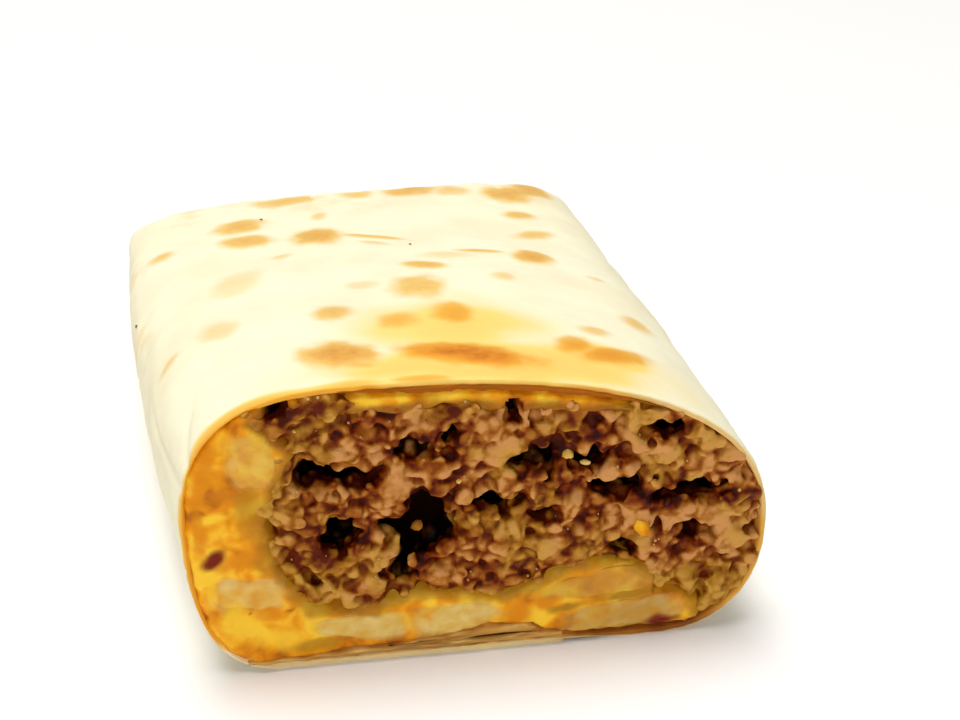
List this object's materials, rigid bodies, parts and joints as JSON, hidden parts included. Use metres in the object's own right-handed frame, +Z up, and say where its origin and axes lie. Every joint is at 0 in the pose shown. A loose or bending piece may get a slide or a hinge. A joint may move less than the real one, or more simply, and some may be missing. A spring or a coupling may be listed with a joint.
{
  "type": "french tacos half",
  "caption": "Half of a french tacos: a grilled flour tortilla folded into a flat packet and cut across, with minced beef, fries and cheese sauce showing at the cut.",
  "frame": {"origin": "middle of the bounding box on the surface the packet lies on", "axes": "+Z up; the knife cut faces -Y and the folded end +Y, so the packet's length runs along Y; +X to the right as seen at the cut"},
  "size_m": [0.102, 0.1105, 0.0522],
  "materials": {
    "tortilla": "grilled flour tortilla, matte with toasted spots",
    "cheese_sauce": "glossy melted cheese sauce",
    "minced_beef": "browned mince, wet and uneven",
    "fry": "soft potato flesh under a thin sauce coat"
  },
  "bodies": {
    "root": {"tortilla": "tortilla", "cheese_sauce": "cheese_sauce", "minced_beef": "minced_beef", "fry_left_upper": "fry", "fry_left_lower": "fry", "fry_base_left": "fry", "fry_base_middle": "fry", "fry_right_upper": "fry", "fry_right_lower": "fry"}
  },
  "joints": []
}
